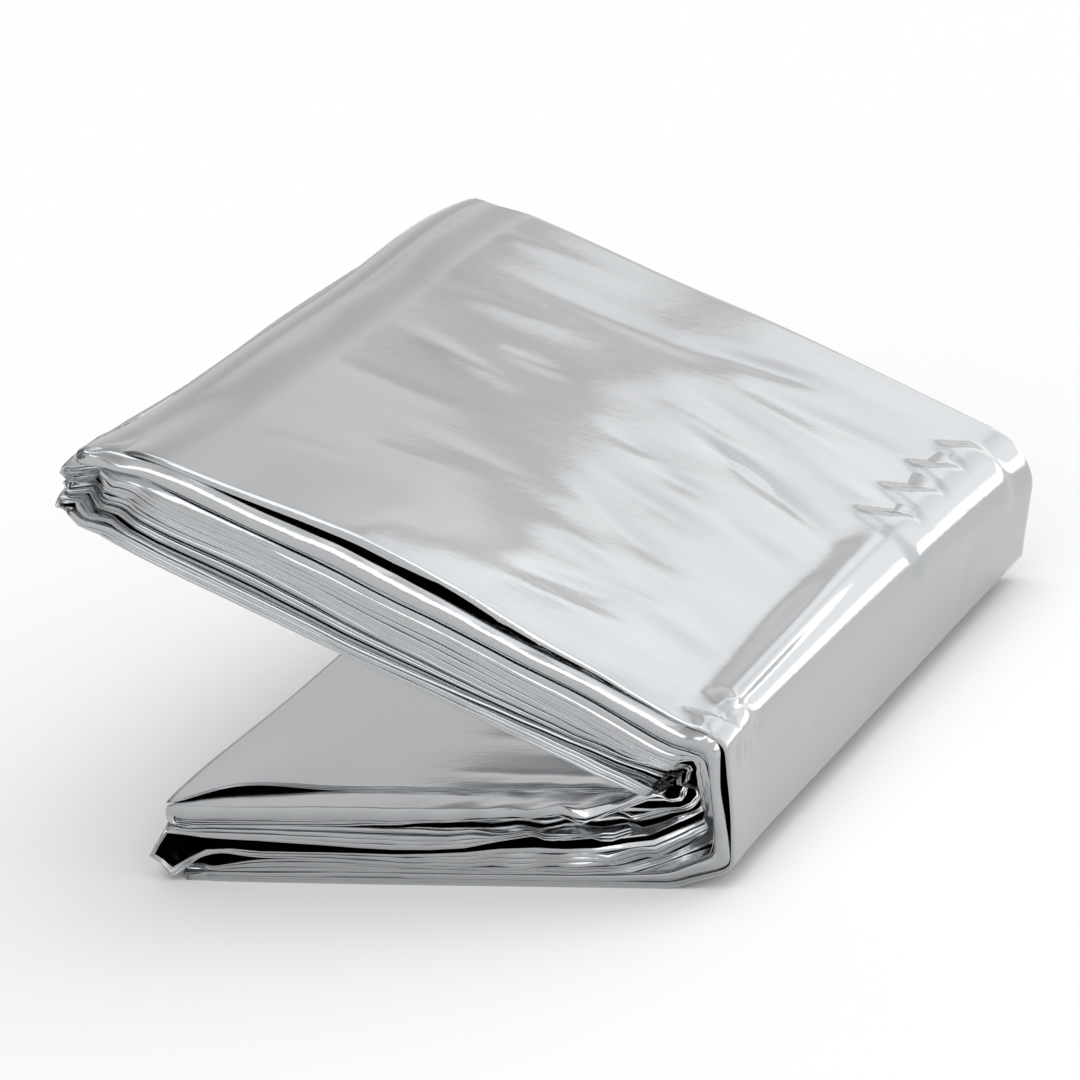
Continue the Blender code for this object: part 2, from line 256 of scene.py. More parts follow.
# Rows along the lower flap, the spine and the upper flap: the outermost ply where it shows, by layer, the
# same ply elsewhere, and the other plies.
OUTER_STEPS = {0: (22, 44, 76), 7: (44, 14, 24)}
OUTER_HIDDEN_STEPS = (18, 16, 26)
INNER_STEPS = (54, 46, 84)
OUTER_TURN_STEPS = 6  # and rows round an open end, for the outermost ply and the others
INNER_TURN_STEPS = 8

# The length of the way, in millimetres, of the lower flap, the spine and the upper flap.
LOWER_RUN = 79.0
SPINE_RUN = 20.0
UPPER_RUN = 96.0


def hex_colour(code):
    """A display colour such as '#D9DBDC' as the linear values that a shader takes, by the sRGB curve."""
    parts = [int(code[i:i + 2], 16) / 255 for i in (1, 3, 5)]
    return tuple(c / 12.92 if c <= 0.04045 else ((c + 0.055) / 1.055) ** 2.4 for c in parts) + (1.0,)


def hump(distance, fade):
    """A bell: 1 at no distance, and a little over a third at the fade."""
    return np.exp(-((distance / fade) ** 2))


def ease(x):
    """From 0 to 1 as x goes from 0 to 1, without a corner at either end."""
    x = np.clip(x, 0.0, 1.0)
    return x * x * (3 - 2 * x)


def window(x, start, start_run, stop, stop_run):
    """1 between start and stop, easing in over the first run and out over the second."""
    return ease((x - start) / start_run) * ease((stop - x) / stop_run)


def soft_table(way, places, values, spread=0.03):
    """A table's value along a layer's way, its corners rounded."""
    steps = (-1.0, -0.5, 0.0, 0.5, 1.0)
    return sum(np.interp(way + s * spread, places, values) for s in steps) / len(steps)


def wave(share, phase):
    """A gentle unevenness along an edge, from a slow wave and a quicker one."""
    slow = np.sin(math.tau * (0.8 * share + phase))
    quick = np.sin(math.tau * (2.1 * share + 1.7 * phase))
    return 0.6 * slow + 0.4 * quick


def zigzag(x):
    """A wave of straight flanks and sharp edges, from -1 to 1."""
    return 4 * np.abs(x - np.floor(x + 0.5)) - 1


def ripple(y, along, row):
    """A fine wave across the strip that drifts along it. A whole wave is 2 pi lengths long."""
    height, length, drift, phase = row
    return height * np.sin(y / length + drift * along + phase)


# ---------------- the pad's two faces


def inner_spine(turn_share):
    """The tight fold inside the spine, from the lower flap to the raised one: (x, z) at a share of it."""
    turn = -math.pi / 2 + np.clip(turn_share, 0, 1) * (math.pi - FLAP_ANGLE)
    return np.stack((
        INNER_FOLD_X + INNER_FOLD_RADIUS * np.cos(turn),
        INNER_FOLD_Z + INNER_FOLD_RADIUS * np.sin(turn),
    ), -1)


def outer_spine(share, width_share):
    """The outer face round the spine: off the surface, up the face, and the roll to the upper flap."""
    from_far = (1 - width_share) * STRIP_WIDTH
    radius = ROLL_NEAR + (ROLL_FAR - ROLL_NEAR) * width_share
    head = SPINE_HEAD - (radius - ROLL_NEAR) * math.tan((math.pi / 2 - FLAP_ANGLE) / 2)
    face_x = SPINE_X + SPINE_FLARE * np.exp(-from_far / FLARE_FADE)
    foot_x = SPINE_X - SPINE_LEAN
    part = share * (1 + FACE_PARTS + ROLL_PARTS)
    up_chamfer = np.clip(part, 0, 1)
    up_face = np.clip((part - 1) / FACE_PARTS, 0, 1)
    turn = np.clip((part - (1 + FACE_PARTS)) / ROLL_PARTS, 0, 1) * (math.pi / 2 - FLAP_ANGLE)
    x = foot_x - CHAMFER_RUN * (1 - up_chamfer) + (face_x - foot_x) * up_face
    x = x - radius * (1 - np.cos(turn))
    z = CHAMFER_RISE * up_chamfer + (head - CHAMFER_RISE) * up_face + radius * np.sin(turn)
    return np.stack(np.broadcast_arrays(x, z), -1)


def corner_draws(width_share):
    """How far the open ends are drawn in towards the near corner and towards the far one."""
    near = width_share * STRIP_WIDTH
    far = (1 - width_share) * STRIP_WIDTH
    return 0.4 * CORNER_CUT * np.exp(-near / CORNER_FADE), CORNER_CUT * np.exp(-far / CORNER_FADE)


def open_ends(layer, width_share):
    """How far past the flaps' nominal ends this layer's folds come: (lower, upper), in metres."""
    lower = LOWER_FOLDS[layer] * MM + END_WAVE * wave(width_share, 0.31 * ((layer + 1) // 2))
    upper = (UPPER_FOLDS[layer] + (UPPER_FAR_FOLDS[layer] - UPPER_FOLDS[layer]) * width_share) * MM
    upper = upper + END_WAVE * wave(width_share, 0.43 * (layer // 2) + 0.2)
    near_draw, far_draw = corner_draws(width_share)
    radius = UPPER_ROUNDS[layer] * MM
    inward = np.clip(1 - width_share * STRIP_WIDTH / radius, 0, ROUND_LIMIT)
    round_draw = radius * (1 - np.sqrt(1 - inward ** 2))
    lower = lower - near_draw - far_draw - LOWER_SKEW * width_share
    upper = upper - round_draw - far_draw
    return lower, upper


def near_lift(flap_share, width_share):
    """How far the top sheet rises off the raised flap: its arch at the near edge, and a little all over."""
    near = width_share * STRIP_WIDTH
    arch = soft_table(flap_share, ARCH_PLACES, ARCH_HEIGHTS, 0.015) * MM
    return arch * hump(near, ARCH_FADE) + ARCH_INSIDE * np.sin(math.pi * np.clip(flap_share, 0, 1))


def raw_faces(way, width_share, layer):
    """The pad's inner and outer face, (x, z) each, where this layer passes at this place of its way."""
    lower_past, upper_past = open_ends(layer, width_share)
    lower_x = INNER_FOLD_X - LOWER_REACH - lower_past
    down = np.clip(way, 0, 1)[..., None]
    round_it = np.clip(way - 1, 0, 1)
    up = np.clip(way - 2, 0, 1)
    inner_mid = inner_spine(round_it)
    outer_mid = outer_spine(round_it, width_share)
    lower_inner = np.stack(np.broadcast_arrays(lower_x, LOWER_DEPTH), -1)
    lower_outer = np.stack(np.broadcast_arrays(lower_x, 0.0), -1)
    inner_end = inner_spine(1.0) + ALONG * UPPER_REACH
    outer_end = inner_end + OUT * UPPER_DEPTH
    inner_up = inner_mid + (inner_end - inner_mid) * up[..., None] + ALONG * (upper_past * up)[..., None]
    outer_up = outer_mid + (outer_end - outer_mid) * up[..., None] + ALONG * (upper_past * up)[..., None]
    outer_up = outer_up + OUT * near_lift(up, width_share)[..., None]
    in_lower = (way < 1)[..., None]
    inner = np.where(in_lower, lower_inner + (inner_mid - lower_inner) * down, inner_up)
    outer = np.where(in_lower, lower_outer + (outer_mid - lower_outer) * down, outer_up)
    return inner, outer


def pad_faces(way, width_share, layer):
    """The two faces with their bends rounded, and with the relief of the sheets that show."""
    spread = BEND_ROUNDING * hump(way - 1.5, BEND_REACH)
    faces = [raw_faces(way + step * spread, width_share, layer) for step in (-1.0, -0.4, 0.4, 1.0)]
    inner = sum(f[0] for f in faces) / len(faces)
    outer = sum(f[1] for f in faces) / len(faces)
    outward = outer - inner
    outward = outward / np.linalg.norm(outward, axis=-1, keepdims=True)
    y = width_share * STRIP_WIDTH / MM
    inner = inner - outward * (inner_relief(way, y) * MM)[..., None]
    outer = outer + outward * (outer_relief(way, y) * MM)[..., None]
    return inner, outer


# ---------------- the relief of the sheets that show

# Soft creases of the top sheet, in millimetres: from (along, across) to (along, across), measured from the
# spine's head and from the near edge, then how wide and how high each is. A negative height is a trough.
TOP_CREASES = (
    (88.0, 78.0, 58.0, 71.0, 4.5, 0.26),
    (72.0, 83.0, 54.0, 83.5, 4.0, -0.20),
    (86.0, 23.0, 66.0, 28.0, 3.5, 0.16),
    (76.0, 34.0, 50.0, 40.0, 4.5, -0.14),
    (74.0, 46.0, 36.0, 44.0, 5.0, 0.16),
    (88.0, 108.0, 26.0, 110.0, 6.5, -0.26),
    (46.0, 60.0, 18.0, 54.5, 4.6, -0.30),
    (50.0, 75.0, 20.0, 63.0, 5.0, -0.32),
    (46.0, 68.0, 22.0, 70.0, 3.6, 0.18),
    (42.0, 88.0, -1.0, 70.0, 4.6, -0.52),
    (46.0, 89.0, 20.0, 82.5, 4.4, 0.34),
    (48.0, 98.0, 16.0, 91.0, 5.0, -0.30),
    (42.0, 103.0, 10.0, 99.0, 4.5, 0.24),
    (52.0, 110.0, 18.0, 120.0, 5.2, -0.38),
    (44.0, 106.5, -2.0, 107.5, 5.5, -0.26),
    (42.0, 14.0, 18.0, 26.0, 3.6, -0.20),
    (42.0, 9.0, 16.0, 18.0, 3.0, 0.22),
    (46.0, 53.0, 16.0, 37.0, 4.8, -0.26),
    (44.0, 36.5, 20.0, 30.5, 4.5, 0.20),
    (32.0, 30.5, 0.0, 21.0, 6.0, 0.16),
    (28.0, 65.0, 2.0, 55.0, 5.0, -0.18),
    (22.0, 93.0, 0.0, 88.0, 5.0, 0.20),
    (92.0, 94.0, 56.0, 98.0, 6.0, 0.18),
    (90.0, 58.0, 60.0, 58.0, 5.0, -0.16),
    (92.0, 120.0, 60.0, 122.0, 5.0, 0.18),
)
# Where the film was crimped over the roll: flat-sided bulges whose upper edge runs to and fro as a zigzag,
# through these places, (across, along). Then the bulges' height and the run of their upper edge.
ROLL_ZIGZAGS = (
    ((80.0, -4.0), (84.5, 4.5), (91.5, -5.0), (95.0, 4.0), (103.0, -4.0), (106.5, 3.4), (113.0, -2.8),
     (116.5, 2.4), (124.0, -4.0)),
    ((-3.0, -5.5), (3.4, 1.8), (7.0, -6.0), (10.5, 0.8), (15.5, -5.0)),
)
ZIGZAG_HEIGHT = 0.62
ZIGZAG_RUN = 3.2
ZIGZAG_FADE = 4.0  # how far in from its first and last corner a bulge is whole
ZIGZAG_FOOT = -11.0  # where it starts on the spine's face, and over what length it grows
ZIGZAG_FOOT_RUN = 5.0
# Small nicks and faint wrinkles of the spine's face, in the same way as the creases.
SPINE_NICKS = (
    (-10.5, 3.5, -7.0, 6.0, 1.8, -0.40),
    (-11.0, 8.0, -7.0, 11.0, 2.0, -0.40),
    (-10.0, 12.5, -7.0, 15.5, 1.8, -0.32),
    (-12.8, 28.0, -11.6, 47.0, 1.6, -0.12),
    (-13.5, 60.0, -10.0, 84.0, 3.0, 0.12),
    (-16.0, 96.0, -9.0, 108.0, 4.0, -0.16),
)
# Creases of the sheet inside the lower flap: along from its open end, and across from the near edge.
INSIDE_CREASES = (
    (44.0, 9.5, 82.0, 8.0, 2.2, 0.18),
    (38.0, 14.0, 82.0, 12.0, 2.8, -0.18),
    (50.0, 21.0, 82.0, 18.0, 3.5, 0.22),
    (36.0, 29.0, 80.0, 24.0, 4.5, -0.20),
    (28.0, 42.0, 76.0, 34.0, 6.0, 0.18),
    (20.0, 66.0, 70.0, 58.0, 8.0, -0.16),
    (30.0, 96.0, 74.0, 90.0, 8.0, 0.16),
)
# The soft ridge across the top sheet, where it was folded once: across, and along.
RIDGE_ACROSS = (0.0, 13.0, 30.0, 47.0, 63.0, 74.0, 85.0, 96.0, 108.0, 120.0, 131.0)
RIDGE_ALONG = (36.0, 37.0, 41.0, 41.5, 42.0, 47.0, 53.0, 44.0, 38.0, 40.0, 44.0)
RIDGE_HEIGHT = 0.75
RIDGE_ROUNDING = 2.5
END_STRIP_ALONG = 86.5  # the strip along the open end lies lower: from where, how far, over what run
END_STRIP_DROP = 0.6
END_STRIP_RUN = 8.0
FAR_RISE = 1.7  # how much higher the far corner of the open end stands, and over what width
FAR_RISE_FADE = 40.0
FAR_RISE_START = 52  # and from where along the flap, over what length
FAR_RISE_RUN = 40
BEAD_HEIGHT = 0.85  # a soft bead over the near half of the roll, where the sheet was bent once more
BEAD_ACROSS = 34  # its middle, and how wide it is
BEAD_WIDTH = 44.0
BEAD_RISE = 2.5  # the lengths over which it rises and falls along the sheet
BEAD_FALL = 5.2
BEAD_START = -3.0
SPINE_BULGE = 1.1  # how far the outermost sheet swells out at the near end of the spine
SPINE_BULGE_START = 1.05  # where on the way, over how much of it, and how far in from the near edge
SPINE_BULGE_RUN = 0.9
SPINE_BULGE_FADE = 9.0
ROLL_ZONE = (-20, 12)  # where along the sheet the zigzags and nicks lie, from the spine's head

# Fine waves of the film: (height, length, drift, phase), in millimetres. A whole wave is 2 pi lengths long.
# The fans are of hair-fine creases.
FAN_RIPPLE = (0.055, 1.9, 0.05, 0.0)
FAN_WINDOW = (4, 20, 46, 16)
TOP_RIPPLE = (0.07, 4.6, -0.04, 1.0)
SPINE_RIPPLE = (0.04, 9.0, 2.0, 0.0)
SPINE_WINDOW = (1.16, 0.12, 2.02, 0.12)
INSIDE_FAN_RIPPLE = (0.05, 1.6, 1.5, 0.0)
INSIDE_RIPPLE = (0.05, 11.0, -2.0, 0.0)
UNDER_RIPPLE = (0.08, 6.0, 2.0, 0.0)
TOP_FADE = 0.05  # how soon the creases are whole at both ends of the raised flap
INSIDE_FADE = 0.04  # and at the spine's end of the lower one
CREASE_ENDS = 0.45  # how much of a crease's length each of its ends takes to fade


def crease(x, y, row):
    """One soft crease: its height at each place, fading at its two ends."""
    x0, y0, x1, y1, width, height = row
    length = math.hypot(x1 - x0, y1 - y0)
    ux, uy = (x1 - x0) / length, (y1 - y0) / length
    along = (x - x0) * ux + (y - y0) * uy
    across = (y - y0) * ux - (x - x0) * uy
    run = CREASE_ENDS * length
    ends = window(along, 0, run, length, run)
    return height * ends * hump(across, width / 2)


def zigzag_bulge(along, y, corners):
    """A bulge over the roll with a zigzag upper edge, so that flat facets meet in sharp lines."""
    places = [corner[0] for corner in corners]
    edge = np.interp(y, places, [corner[1] for corner in corners])
    inside = window(y, places[0], ZIGZAG_FADE, places[-1], ZIGZAG_FADE)
    upper = np.clip((edge + ZIGZAG_RUN - along) / ZIGZAG_RUN, 0, 1)
    return ZIGZAG_HEIGHT * inside * upper * ease((along - ZIGZAG_FOOT) / ZIGZAG_FOOT_RUN)


def outer_relief(way, y):
    """Millimetres outward: the top sheet, the roll and the spine's face. The underside stays flat."""
    along = np.where(way > 2, (way - 2) * UPPER_RUN, (way - 2) * SPINE_RUN)
    on_top = window(way, 2.0, TOP_FADE, 3.0, TOP_FADE)
    ridge = np.interp(y, RIDGE_ACROSS, RIDGE_ALONG)
    past = along - ridge
    fall = np.where(past > 0, UPPER_RUN - ridge, ridge)
    rise = 1 - (np.sqrt(past * past + RIDGE_ROUNDING ** 2) - RIDGE_ROUNDING) / fall
    relief = RIDGE_HEIGHT * np.clip(rise, 0, 1)
    relief = relief + ripple(y, along, FAN_RIPPLE) * window(along, *FAN_WINDOW)
    relief = relief + ripple(y, along, TOP_RIPPLE)
    for row in TOP_CREASES:
        relief = relief + crease(along, y, row)
    relief = relief * on_top
    relief = relief - END_STRIP_DROP * ease((along - END_STRIP_ALONG) / END_STRIP_RUN) * (way > 2)
    rise = ease((along - FAR_RISE_START) / FAR_RISE_RUN)
    relief = relief + FAR_RISE * rise * hump(STRIP_WIDTH / MM - y, FAR_RISE_FADE)
    relief = relief + ripple(y, way, SPINE_RIPPLE) * window(way, *SPINE_WINDOW)
    swell = np.sin(math.pi * np.clip((way - SPINE_BULGE_START) / SPINE_BULGE_RUN, 0, 1))
    relief = relief + SPINE_BULGE * swell * hump(y, SPINE_BULGE_FADE)
    bead = hump(y - BEAD_ACROSS, BEAD_WIDTH) * window(along, BEAD_START, BEAD_RISE, BEAD_FALL, BEAD_FALL)
    relief = relief + BEAD_HEIGHT * bead * (way > 1.5)
    if np.any((along > ROLL_ZONE[0]) & (along < ROLL_ZONE[1])):
        for corners in ROLL_ZIGZAGS:
            relief = relief + zigzag_bulge(along, y, corners)
        for row in SPINE_NICKS:
            relief = relief + crease(along, y, row)
    return relief


def inner_relief(way, y):
    """Millimetres into the gap of the V: the sheet inside the lower flap, and the one under the upper."""
    on_lower = ease((0.995 - way) / INSIDE_FADE)
    fan = ease((way - 0.4) / 0.5) * hump(y, 34.0)
    relief = ripple(y, way, INSIDE_FAN_RIPPLE) * fan + ripple(y, way, INSIDE_RIPPLE)
    for row in INSIDE_CREASES:
        relief = relief + crease(way * LOWER_RUN, y, row)
    under = ripple(y, way, UNDER_RIPPLE) * ease((way - 2.05) / 0.1)
    return relief * on_lower + under


# ---------------- the plies


def place_in_layer(layer, ply):
    """A ply's place in a layer, from its outer side: the strip turns over at each fold."""
    return ply if layer % 2 == 0 else PLIES - 1 - ply


def ply_bounds(layer, ply, way, width_share):
    """The outer and inner face of one ply of a layer, as shares of the pad's depth."""
    near = np.maximum(width_share * STRIP_WIDTH / MM, 0)
    edge = hump(np.maximum(near - soft_table(way, STATIONS, INSETS[layer]), 0), EDGE_FADES[layer])
    highs = [pair[0] for pair in BANDS[layer]]
    lows = [pair[1] for pair in BANDS[layer]]
    even_high = 1.0 - layer / LAYERS
    even_low = 1.0 - (layer + 1) / LAYERS + 0.022
    if layer == LAYERS - 1:
        even_low = 0.0
    high = even_high + (soft_table(way, STATIONS, highs) - even_high) * edge
    low = even_low + (soft_table(way, STATIONS, lows) - even_low) * edge
    place = place_in_layer(layer, ply)
    shares = np.array(PLY_SHARES[layer])
    wide = hump(near, SHARE_FADE)
    start = place / PLIES + (shares[:place].sum() - place / PLIES) * wide
    stop = (place + 1) / PLIES + (shares[:place + 1].sum() - (place + 1) / PLIES) * wide
    if place > 0:
        start = start + PLY_GAP / 2
    if place < PLIES - 1:
        stop = stop - PLY_GAP / 2
    return high + (low - high) * start, high + (low - high) * stop


def near_edge(layer, ply, way):
    """How far this ply's near edge stands in, in metres, with its unevenness."""
    base = soft_table(way, STATIONS, INSETS[layer])
    seed = 1.7 * layer + 2.9 * ply
    waves = [height * np.sin(rate * way + turn * seed) for height, rate, turn in RAGGED_WAVES]
    ragged = sum(waves) + RAGGED_BASE
    stagger = PLY_STAGGER[layer][place_in_layer(layer, ply)]
    if layer == 0:
        ragged = RAGGED_ON_TOP * ragged
        stagger = stagger * np.interp(way, TOP_PART_WAYS, TOP_PARTS)
    if way.mean() > 2:
        ragged = RAGGED_IN_TURNS * ragged
    return (base + stagger + ragged) * MM


def far_edge(layer, ply, way):
    """How far this ply's far edge stands in, in metres."""
    seed = 2.3 * layer + 1.9 * ply
    uneven = FAR_UNEVEN * (math.sin(3.7 * seed) + 1) + FAR_RIPPLE * np.sin(7.0 * way + seed)
    return uneven * MM


def spaced(runs):
    """Shares across the strip, from runs of (start, stop, spacing) in millimetres."""
    places = [np.arange(start, stop - spacing / 2, spacing) for start, stop, spacing in runs]
    return np.append(np.concatenate(places), runs[-1][1]) / runs[-1][1]


def loop_columns(front_steps, back_steps, fold_steps):
    """The closed round of one ply's section: (share across, blend from front to back, edge, swell)."""
    columns = []
    half = fold_steps // 2
    for step in range(half, 0, -1):
        turn = math.pi / 2 * (half - step) / half
        columns.append((0.0, 0.5 - 0.5 * math.sin(turn), -1, math.cos(turn)))
    for share in front_steps:
        columns.append((share, 0.0, 0, 0.0))
    for step in range(1, 2 * half):
        turn = math.pi * step / (2 * half)
        columns.append((1.0, 0.5 - 0.5 * math.cos(turn), 1, math.sin(turn)))
    for share in reversed(back_steps):
        columns.append((share, 1.0, 0, 0.0))
    for step in range(1, half):
        turn = math.pi / 2 * step / half
        columns.append((0.0, 0.5 + 0.5 * math.cos(turn), -1, math.sin(turn)))
    return np.array(columns)


def section_places(layer, ply, way, columns):
    """For rows of one layer, at each column: its way, its share of the strip's width, and its place between
    the pad's faces."""
    way = np.asarray(way, float)[:, None]
    share, blend, edge, swell = columns.T[:, None, :]
    near_in = near_edge(layer, ply, way)
    far_in = far_edge(layer, ply, way)
    depth = np.where(way < 1, LOWER_DEPTH, np.where(way > 2, UPPER_DEPTH, SPINE_DEPTH))
    high, low = ply_bounds(layer, ply, way, near_in / STRIP_WIDTH)
    half = 0.5 * (high - low) * depth
    growth = LOWER_BULGE + (1 - LOWER_BULGE) * ease((way - 1.0) / BULGE_RUN)
    near_r = EDGE_BULGE[layer] * half * growth
    place = place_in_layer(layer, ply)
    lean = EDGE_LEAN[layer][place] * ease((way - LEAN_START) / LEAN_RUN)
    if layer == LINE_LAYER and place < 2:
        other = EDGE_LEAN[layer][1 - place]
        lean = lean + (other - lean) * ease((way - LINE_BREAK) / LINE_STEP)
    lean = lean * (1 + sum(
        height * np.sin(rate * way + by_ply * ply + by_layer * layer)
        for height, rate, by_ply, by_layer in LEAN_WAVES
    ))
    if 1 < layer < LAYERS - 1:
        lean = lean + END_LEAN * ease((way - END_LEAN_START) / END_LEAN_RUN)
    high, low = ply_bounds(layer, ply, way, 1 - far_in / STRIP_WIDTH)
    far_r = np.clip(FAR_ROUND * (high - low) * depth, *FAR_ROUND_LIMITS)
    first = near_in + near_r
    last = STRIP_WIDTH - far_in - far_r
    across = first + (last - first) * share
    across = np.where(edge < 0, near_in + near_r * (1 - swell ** EDGE_POWER), across)
    across = np.where(edge > 0, STRIP_WIDTH - far_in - far_r * (1 - swell), across)
    toward_outer = 2 * blend - 1 if layer % 2 else 1 - 2 * blend
    leaning = np.clip(1 - LEAN_FALL * share, 0, 1) * (edge < 1)
    across = across + lean * half * (1 + toward_outer) * leaning
    width_share = across / STRIP_WIDTH
    high, low = ply_bounds(layer, ply, way, width_share)
    if layer % 2:
        high, low = low, high
    place = high + (low - high) * blend
    return np.broadcast_to(way, width_share.shape), width_share, place


def crumple(points, way, width_share, layer, ply):
    """Breaks the film into small sharp facets where it is squeezed: round the near end of the spine, in the
    near mouths between layers that part, and at the near corners of the open ends."""
    near = np.maximum(width_share * STRIP_WIDTH / MM, 0)
    arc = np.where(way < 1, way * LOWER_RUN, LOWER_RUN + (way - 1) * SPINE_RUN)
    arc = np.where(way > 2, LOWER_RUN + SPINE_RUN + (way - 2) * UPPER_RUN, arc)
    place = place_in_layer(layer, ply)
    fade = np.where(way < SPINE_CRUMPLE_WAY, *SPINE_CRUMPLE_FADES)
    across = hump(near, CRUMPLE_ACROSS)
    strength = SPINE_CRUMPLE[layer] * hump(way - SPINE_CRUMPLE_WAY, fade) * across
    strength = strength + UPPER_END_CRUMPLE[layer] * hump(way - 3.0, UPPER_END_FADE) * across
    at_lower_end = hump(way, LOWER_END_FADE) * hump(near, LOWER_END_ACROSS)
    strength = strength + LOWER_END_CRUMPLE[layer] * at_lower_end
    if layer in MOUTH_CRUMPLE:
        by_place, middle, length, width = MOUTH_CRUMPLE[layer]
        strength = strength + by_place[place] * hump(way - middle, length) * hump(near, width)
    if float(strength.max()) < LEAST_CRUMPLE:
        return points
    deep = points[..., 2] / MM
    waves = [zigzag((u * arc + v * near + w * deep) / size) for u, v, w, size in FACETS]
    push = np.stack([sum(p * wave for p, wave in zip(row, waves)) for row in FACET_PUSHES], -1)
    return points + push * strength[..., None] * MM


def layer_points(layer, ply, way, columns):
    """The rows of one ply through one layer, as points in the frame."""
    way, width_share, place = section_places(layer, ply, way, columns)
    inner, outer = pad_faces(way, width_share, layer)
    flat = inner + (outer - inner) * place[..., None]
    y = (width_share - 0.5) * STRIP_WIDTH
    points = np.stack((flat[..., 0], y, flat[..., 1]), -1)
    return crumple(points, way, width_share, layer, ply)


def turn_points(layer, ply, columns, steps):
    """The rows that carry a ply round an open end, from this layer to the next one in."""
    upper = layer % 2 == 0
    end = 3.0 if upper else 0.0
    outward = ALONG if upper else np.array((-1.0, 0.0))
    _, width_share, place = section_places(layer, ply, [end], columns)
    _, next_share, next_place = section_places(layer + 1, ply, [end], columns)
    innermost = PLIES - 1 if upper else 0
    _, own_low = ply_bounds(layer, innermost, np.array([[end]]), width_share)
    next_high, _ = ply_bounds(layer + 1, innermost, np.array([[end]]), next_share)
    centre = 0.5 * (own_low + next_high)
    rows = []
    for step in range(1, steps):
        turn = math.pi * step / steps
        mix = 0.5 - 0.5 * math.cos(turn)
        share = width_share + (next_share - width_share) * mix
        at = np.full_like(share, end)
        inner, outer = pad_faces(at, share, layer)
        next_inner, next_outer = pad_faces(at, share, layer + 1)
        inner = inner + (next_inner - inner) * mix
        outer = outer + (next_outer - outer) * mix
        deep = outer - inner
        depth = np.linalg.norm(deep, axis=-1, keepdims=True)
        radius = ((place - centre) * (1 - mix) + (centre - next_place) * mix)[..., None]
        middle = inner + deep * centre[..., None]
        near = hump(share * STRIP_WIDTH / MM, FOLD_NEAR)[..., None]
        sharp = near if layer == DROOP_LAYER else FOLD_SHARPNESS * near
        past = (1 - sharp) * math.sin(turn) ** 0.5 + sharp * (1 - abs(math.cos(turn)))
        aside = np.array((0.0, -FOLD_DROOP)) * near * (layer == DROOP_LAYER)
        flat = middle + deep * radius * math.cos(turn) + (outward + aside) * depth * radius * past
        y = (share - 0.5) * STRIP_WIDTH
        points = np.stack((flat[..., 0], y, flat[..., 1]), -1)
        rows.append(crumple(points, at, share, layer, ply))
    return np.concatenate(rows)


def spread_steps(count, tight=0.0):
    """Shares from 0 to 1, closer together at both ends as tight grows to 1."""
    even = np.linspace(0, 1, count)
    return even * (1 - tight) + ease(even) * tight


def way_steps(lower, spine, upper):
    """One layer's rows, from the lower open end to the upper one."""
    return np.concatenate((
        spread_steps(lower, 0.5)[:-1],
        1 + np.linspace(0, 1, spine)[:-1],
        2 + spread_steps(upper, 0.5),
    ))


def film_mesh(name, ply, columns, shown, hidden, turn_steps):
    """One ply of the strip, followed through all its layers, as a closed thin solid with round edges. The
    steps are (lower flap, spine, upper flap): by number for the layers that show, and for the rest."""
    rows = []
    for layer in range(LAYERS):
        way = way_steps(*shown.get(layer, hidden))
        if layer % 2:
            way = way[::-1]
        rows.append(layer_points(layer, ply, way, columns))
        if layer < LAYERS - 1:
            rows.append(turn_points(layer, ply, columns, turn_steps))
    return mesh_from_rows(name, np.concatenate(rows), int(np.argmax(columns[:, 2] * columns[:, 3])))


def end_cap(row, middle, across):
    """Triangles over an open end of the skin, between the two chains of points from its near edge to its
    far one, the nearer point first."""
    front = list(range(middle + 1))
    back = [0] + list(range(len(row) - 1, middle - 1, -1))
    faces = [(row[0], row[1], row[-1])]
    i = j = 1
    while i < len(front) - 1 or j < len(back) - 1:
        done = j == len(back) - 1
        if done or (i < len(front) - 1 and across[front[i + 1]] <= across[back[j + 1]]):
            if front[i + 1] != back[j]:
                faces.append((row[front[i]], row[front[i + 1]], row[back[j]]))
            i += 1
        else:
            if back[j + 1] != front[i]:
                faces.append((row[front[i]], row[back[j + 1]], row[back[j]]))
            j += 1
    return faces


def mesh_from_rows(name, points, middle):
    """A closed skin over rows of points, each row a closed round, its two ends capped."""
    count, across = points.shape[:2]
    index = np.arange(count * across).reshape(count, across)
    here, there = index[:-1], index[1:]
    faces = np.stack((here, there, np.roll(there, -1, 1), np.roll(here, -1, 1)), -1).reshape(-1, 4)
    made = bpy.data.meshes.new(name)
    caps = [c for end in (0, -1) for c in end_cap(index[end].tolist(), middle, points[end, :, 1])]
    made.from_pydata(points.reshape(-1, 3).tolist(), [], faces.tolist() + caps)
    lengths = np.linalg.norm(np.diff(points[:, 1], axis=0), axis=-1)
    along = np.concatenate(((0.0,), np.cumsum(lengths)))
    coords = np.empty((count, across, 2))
    coords[..., 0] = along[:, None]
    coords[..., 1] = points[..., 1] + STRIP_WIDTH / 2
    sheet = made.uv_layers.new(name="film")
    corners = np.empty(len(made.loops), np.int32)
    made.loops.foreach_get("vertex_index", corners)
    sheet.data.foreach_set("uv", coords.reshape(-1, 2)[corners].ravel())
    skin = bmesh.new()
    skin.from_mesh(made)
    bmesh.ops.recalc_face_normals(skin, faces=skin.faces)
    skin.to_mesh(made)
    skin.free()
    made.shade_smooth()
    return made


# ---------------- materials


def add_node(tree, kind, settings=None, values=None, links=None):
    """Adds one node: its own settings, its input values, and links from other nodes' outputs."""
    made = tree.nodes.new(kind)
    for key, value in (settings or {}).items():
        setattr(made, key, value)
    for key, value in (values or {}).items():
        made.inputs[key].default_value = value
    for key, output in (links or {}).items():
        tree.links.new(output, made.inputs[key])
    return made


